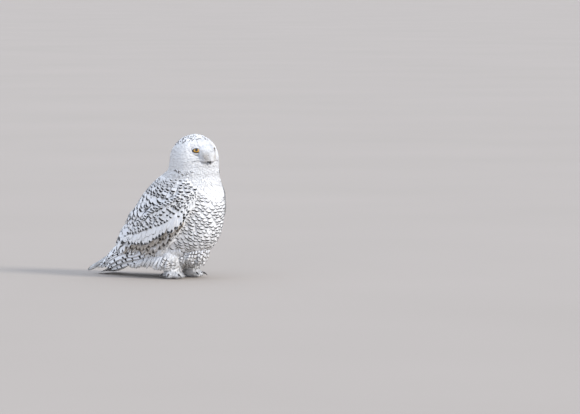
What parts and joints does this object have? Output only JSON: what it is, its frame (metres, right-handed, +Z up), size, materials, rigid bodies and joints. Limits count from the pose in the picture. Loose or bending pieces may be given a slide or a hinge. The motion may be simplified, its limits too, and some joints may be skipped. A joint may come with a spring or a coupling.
{
  "type": "snowy owl model",
  "caption": "Life-size still model of a snowy owl standing with folded wings, head turned a little to its right, white with dark barring.",
  "frame": {"origin": "middle of the bird's box, on the floor that its feet and tail stand on", "axes": "-Y the way the body faces, +X the bird's left, +Z up"},
  "size_m": [0.2114, 0.472, 0.429],
  "materials": {
    "white_plumage": "soft matte white feathers",
    "barred_plumage": "soft matte white feathers with dark bars",
    "black_horn": "satin black horn of bill and claws",
    "amber_eye": "wet glossy amber eye with a black pupil"
  },
  "bodies": {
    "root": {"head": "white_plumage", "neck": "white_plumage", "trunk": "white_plumage", "leg_r": "white_plumage", "leg_l": "white_plumage", "foot_r": "white_plumage", "foot_l": "white_plumage", "wing_r": "barred_plumage", "wing_l": "barred_plumage", "primaries_r": "barred_plumage", "primaries_l": "barred_plumage", "tail": "barred_plumage", "bill_upper": "black_horn", "bill_lower": "black_horn", "claw_r1": "black_horn", "claw_r2": "black_horn", "claw_r3": "black_horn", "claw_r4": "black_horn", "claw_l1": "black_horn", "claw_l2": "black_horn", "claw_l3": "black_horn", "claw_l4": "black_horn", "eye_r": "amber_eye", "eye_l": "amber_eye"}
  },
  "joints": []
}
